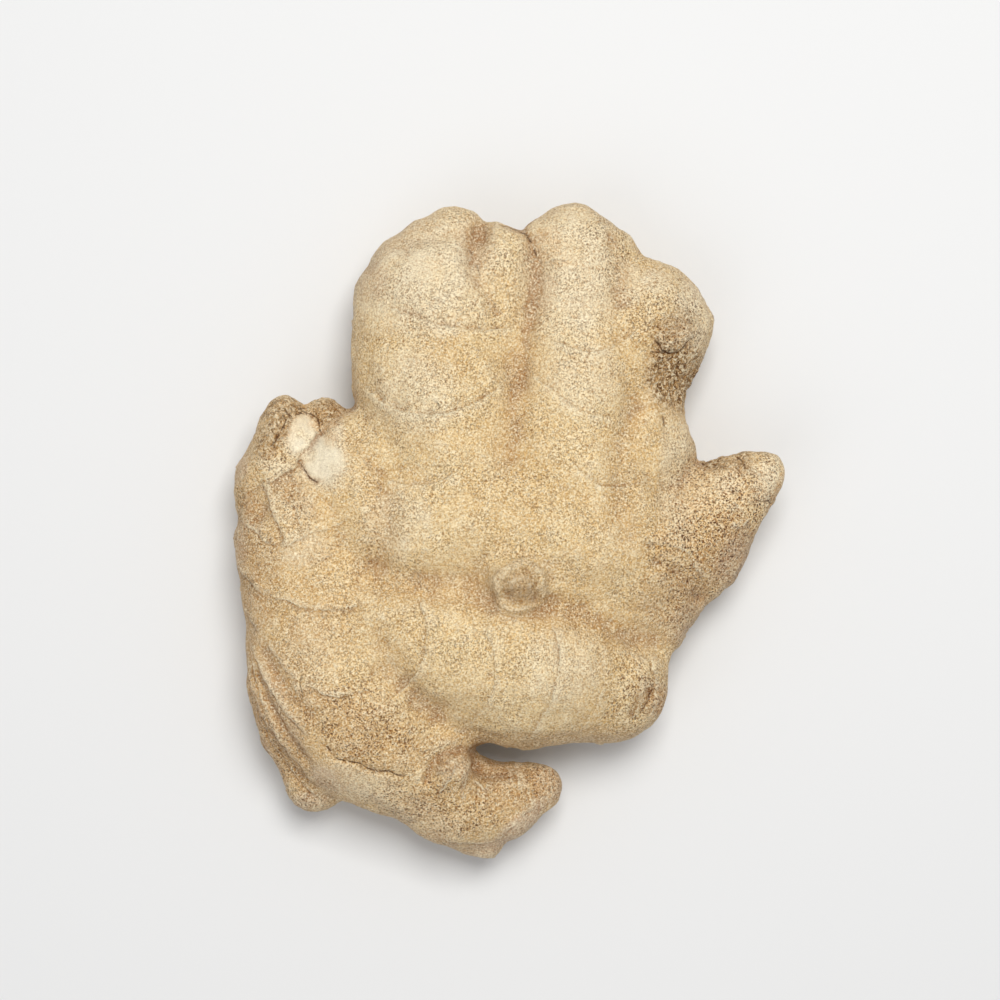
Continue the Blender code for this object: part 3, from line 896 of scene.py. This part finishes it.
TAN = colour(240, 209, 151)
LIGHT_TAN = colour(249, 225, 177)
DEEP_TAN = colour(228, 192, 130)
CREAM = colour(255, 241, 208)
FACE_AND_HIGHLIGHT = colour(255, 247, 222)
GRAIN_BROWN = colour(172, 114, 50)
SPECK_AND_SHADE_BROWN = colour(132, 80, 30)
DARK_BROWN = colour(88, 48, 16)
SHADE_AND_STAIN_BROWN = colour(170, 116, 56)
BUD_ORANGE = colour(222, 164, 82)
DRY_GREY = colour(202, 172, 144)
CORK = colour(206, 160, 98)
ROUGHNESS = 0.56
SPECULAR = 0.24
WARP = (0.9, 0.9, 0.9)  # how far the grain is bent out of shape, in mm


def skin_grain(finish, place):
    """The grain of the skin, each part 0 to 1: brown squiggles, light flecks with a painted highlight
    along the squiggles' crests, and dark pores.
    """
    warp = finish.node("TexNoise", {}, {"Vector": place, "Scale": 1.1, "Detail": 1.0}, "Color")
    shift = finish.node("VectorMath", {"operation": "SUBTRACT"}, {0: warp, 1: (0.5, 0.5, 0.5)})
    warped = {0: shift, 1: WARP, 2: place}
    bent = finish.node("VectorMath", {"operation": "MULTIPLY_ADD"}, warped)
    curl = abs(finish.noise(bent, 1.9, 1.0, 0.5) - 0.5)
    broken = finish.fade(finish.noise(place, 2.2, 1.0), 0.46, 0.56)
    squiggles = (1 - finish.fade(curl, 0.03, 0.072)) * broken
    # Light flecks beside the squiggles: partly light skin, partly painted highlight on the small
    # wrinkles' crests.
    pale_flecks_and_highlights = finish.fade(curl, 0.06, 0.1) * (1 - finish.fade(curl, 0.13, 0.18))
    cells = {"Vector": bent, "Scale": 1.5, "Randomness": 1.0}
    gap = finish.node("TexVoronoi", {}, cells, "Distance")
    pick = finish.node("TexVoronoi", {}, cells, "Color")
    size = 0.1 + 0.35 * finish.node("SeparateColor", {}, {0: pick}, 0)
    pores = 1 - finish.fade(gap / size, 0.6, 1.2)
    return squiggles, pale_flecks_and_highlights, pores


def band(finish, gap, middle, half_width):
    """1 where the gap is near its middle value, 0 further off than half the width."""
    return 1 - finish.fade(abs(gap - middle), half_width * 0.4, half_width)


def ginger_skin():
    """Dry tan skin: finely speckled, with stains and browner scars, painted highlight on domes and edge
    crests, and painted shade in hollows, valleys and on steep flanks.
    """
    finish = Finish("ginger_skin")
    metres = finish.node("TexCoord", {}, {}, "Object")
    place = finish.node("VectorMath", {"operation": "SCALE"}, {0: metres, "Scale": 1 / MM})
    squiggles, pale_flecks_and_highlights, pores = skin_grain(finish, place)
    broad = finish.noise(place, 0.05, 2.0, 0.5)
    blotch = finish.noise(place, 0.25, 3.0, 0.6)
    patchy = finish.fade(finish.noise(place, 0.14, 2.0, 0.5), 0.36, 0.62)
    grain = finish.noise(place, 2.1, 3.0, 0.75)
    fine = finish.noise(place, 3.6, 2.0, 0.6)
    wander = (finish.noise(place, 1.6, 2.0) - 0.5) * 0.8
    hollow_shade_and_bump_highlight, wide_hollow_shade, pale_and_highlight, stain_and_shade = finish.attributes("hollow_shade_and_bump_highlight", "wide_hollow_shade", "pale_and_highlight", "stain_and_shade")
    orange, grey, valley_shade, flank_shade = finish.attributes("orange", "grey", "valley_shade", "flank_shade")
    dotted, corky, scar = finish.attributes("dotted", "corky", "scar")
    edge_gap, edge_mark = finish.attributes("edge_gap", "edge_mark")
    crack_gap, crack_mark = finish.attributes("crack_gap", "crack_mark")
    edge_gap += wander
    edge_mark *= finish.fade(blotch, 0.3, 0.55)
    # The light papery lip on the high side of each edge, ridge and ring, partly painted highlight on
    # its crest.
    lip_and_highlight = band(finish, edge_gap, 0.1, 0.18) * edge_mark * finish.fade(grain, 0.4, 0.5)
    # Painted shadow: a thin dark line just beside each edge, ridge and ring, on its lower side.
    under_lip_shadow = band(finish, edge_gap, -0.26, 0.32) * edge_mark
    crack_gap += wander * 0.5
    crack_mark *= finish.fade(finish.noise(place, 0.55, 1.0) + fine * 0.5, 0.64, 0.8)
    crack = band(finish, crack_gap, 0.0, 0.22) * crack_mark

    base = finish.coats(
        finish.blend(finish.fade(broad, 0.35, 0.65), DEEP_TAN, TAN),
        (finish.fade(blotch, 0.4, 0.7) * 0.5, LIGHT_TAN),
        # Pale smooth faces, partly painted highlight on the knobs' domes.
        (pale_and_highlight, FACE_AND_HIGHLIGHT),
        (orange * 0.7, BUD_ORANGE),
        # Brown stains, partly painted shadow across the lower middle and finger.
        (stain_and_shade * 0.68, SHADE_AND_STAIN_BROWN),
        (grey * 0.8, DRY_GREY),
        # Painted shade on the steep flanks.
        (flank_shade * 0.2, SHADE_AND_STAIN_BROWN),
        # Painted shade in wide hollows and valleys.
        (finish.fade(wide_hollow_shade, 0.0, 0.9) * 0.26 + valley_shade * 0.2, SHADE_AND_STAIN_BROWN),
        # Painted shade in the small hollows, and painted highlight on the bumps between them.
        (finish.fade(hollow_shade_and_bump_highlight, 0.05, 0.8) * 0.5, SPECK_AND_SHADE_BROWN),
        (finish.fade(hollow_shade_and_bump_highlight * -1, 0.05, 0.7) * 0.4, CREAM),
    )

    calm = 1 - finish.fade(pale_and_highlight + grey * 0.6, 0.4, 1.0) * 0.75
    dense = (0.3 + 0.3 * patchy + 0.4 * dotted) * calm
    dots = pores * (0.16 + 0.26 * patchy + 0.55 * dotted) * calm
    crust = finish.noise(place, 1.3, 3.0, 0.7, 0.9)
    cork = finish.blend(finish.fade(crust, 0.43, 0.49), DARK_BROWN, CORK)
    cork = finish.blend(finish.fade(crust, 0.51, 0.58), cork, CREAM)
    base = finish.coats(
        base,
        (finish.fade(grain, 0.48, 0.38) * (0.56 + 0.25 * dotted) * calm, GRAIN_BROWN),
        (finish.fade(grain, 0.52, 0.6) * 0.72, CREAM),
        (pale_flecks_and_highlights * 0.36, CREAM),
        (squiggles * dense * 0.95, SPECK_AND_SHADE_BROWN),
        (dots, DARK_BROWN),
        (corky * 0.85, cork),
        (scar * 0.4, SPECK_AND_SHADE_BROWN),
        (under_lip_shadow * 0.35, SPECK_AND_SHADE_BROWN),
        (lip_and_highlight * 0.85, CREAM),
        (crack * 0.75, DARK_BROWN),
    )

    height = pale_flecks_and_highlights * 0.06 - squiggles * dense * 0.14 - dots * 0.12 + lip_and_highlight * 0.12
    height = height - under_lip_shadow * 0.08 - crack * 0.25 + grain * 0.16 + corky * crust * 1.0
    bump = {"Height": height, "Strength": 1.0, "Distance": MM}
    finish.plug(finish.shader.inputs["Base Color"], base)
    rough = ROUGHNESS + corky * 0.25 - pale_and_highlight * 0.1 + squiggles * 0.08
    finish.plug(finish.shader.inputs["Roughness"], rough)
    finish.plug(finish.shader.inputs["Normal"], finish.node("Bump", {}, bump))
    finish.shader.inputs["Specular IOR Level"].default_value = SPECULAR
    return finish.material


# ---------------- floor, light and camera

FLOOR_SIZE = 3.0
FLOOR_COLOUR = colour(228, 229, 230)
FLOOR_ROUGHNESS = 0.9
SKY_COLOUR = (0.98, 0.98, 1.0, 1.0)
SKY_STRENGTH = 0.38
VIEW_CENTRE = Vector((-1.7, 6.6, 17)) * MM  # what the camera looks straight down at
VIEW_WIDTH = 221.3 * MM  # width that the camera sees at that height
LENS = 100.0
SENSOR = 36.0


def make_floor():
    plane = bmesh.new()
    bmesh.ops.create_grid(plane, x_segments=1, y_segments=1, size=FLOOR_SIZE / 2)
    mesh = bpy.data.meshes.new("floor")
    plane.to_mesh(mesh)
    plane.free()
    finish = Finish("floor_paper")
    finish.shader.inputs["Base Color"].default_value = FLOOR_COLOUR
    finish.shader.inputs["Roughness"].default_value = FLOOR_ROUGHNESS
    mesh.materials.append(finish.material)
    floor = added("floor", mesh)


def add_light(name, place, size, power, tint):
    """A square soft light at a place in metres, aimed at the root."""
    light = bpy.data.lights.new(name, "AREA")
    light.size = size
    light.energy = power
    light.color = tint
    lamp = added(name, light)
    lamp.location = place
    lamp.rotation_mode = "QUATERNION"
    lamp.rotation_quaternion = (VIEW_CENTRE - Vector(place)).to_track_quat("-Z", "Y")


def light_scene():
    add_light("key", (0.10, 0.30, 0.85), 0.4, 6.2, (1.0, 0.985, 0.95))
    add_light("fill", (-0.35, -0.40, 0.70), 0.6, 1.0, (1.0, 0.99, 0.98))
    world = bpy.data.worlds.new("studio")
    world.use_nodes = True
    background = world.node_tree.nodes["Background"]
    background.inputs["Color"].default_value = SKY_COLOUR
    background.inputs["Strength"].default_value = SKY_STRENGTH
    scene = bpy.context.scene
    scene.world = world
    scene.view_settings.view_transform = "Standard"


def add_camera():
    data = bpy.data.cameras.new("camera")
    data.lens = LENS
    data.sensor_width = SENSOR
    data.clip_start = 0.01
    camera = added("camera", data)
    camera.location = VIEW_CENTRE + Vector((0, 0, VIEW_WIDTH * LENS / SENSOR))
    bpy.context.scene.camera = camera


add_camera()
make_floor()
light_scene()
root = make_root()
root.data.materials.append(ginger_skin())
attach(root, "root")
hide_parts("ginger_root")
